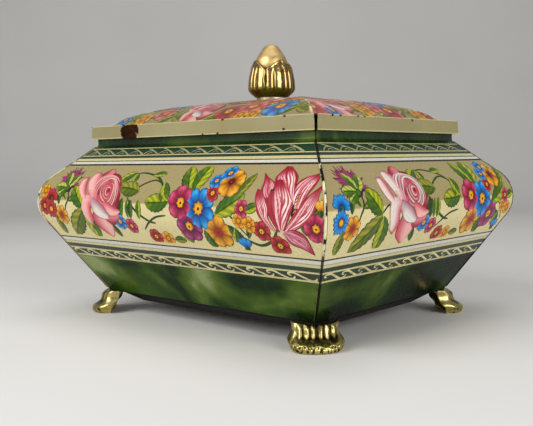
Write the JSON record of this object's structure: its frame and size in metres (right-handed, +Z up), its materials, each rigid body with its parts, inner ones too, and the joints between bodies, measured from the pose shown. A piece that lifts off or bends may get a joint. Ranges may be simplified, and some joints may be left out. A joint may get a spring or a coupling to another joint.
{
  "type": "footed tin casket",
  "caption": "Footed tin casket with a hinged, domed overhanging lid, a bulging flower-printed body, brass claw feet and a brass acorn finial.",
  "frame": {"origin": "on the floor, midway between the four feet", "axes": "+X along the long side, +Y towards the hinge at the back, +Z up"},
  "size_m": [0.1916, 0.1596, 0.1383],
  "materials": {
    "lithographed_body": "glossy lithographed tinplate, green marbling with a flower band",
    "lithographed_lid": "semi-gloss khaki gold tinplate with printed flowers",
    "black_enamel": "semi-gloss black lacquer",
    "brass": "polished stamped brass, darkened in the hollows",
    "plated_steel": "dull tinned steel"
  },
  "bodies": {
    "casket": {"front_wall": "lithographed_body", "back_wall": "lithographed_body", "left_wall": "lithographed_body", "right_wall": "lithographed_body", "base_pan": "black_enamel", "foot_front_left": "brass", "foot_front_right": "brass", "foot_rear_right": "brass", "foot_rear_left": "brass", "foot_rivets": "plated_steel", "hinge_strap_left": "plated_steel", "hinge_strap_centre": "plated_steel", "hinge_strap_right": "plated_steel", "hinge_rivets": "plated_steel"},
    "lid": {"lid_shell": "lithographed_lid", "hinge_wire": "plated_steel", "finial_collar": "brass", "finial_cup": "brass", "finial_nut": "brass", "finial_washer": "plated_steel", "finial_screw": "plated_steel"}
  },
  "joints": [
    {"name": "lid_hinge", "type": "hinge", "parent": "casket", "child": "lid", "pos_m": [0, 0.0582, 0.0921], "axis": [-1, 0, 0], "range_deg": [0, 100]}
  ]
}
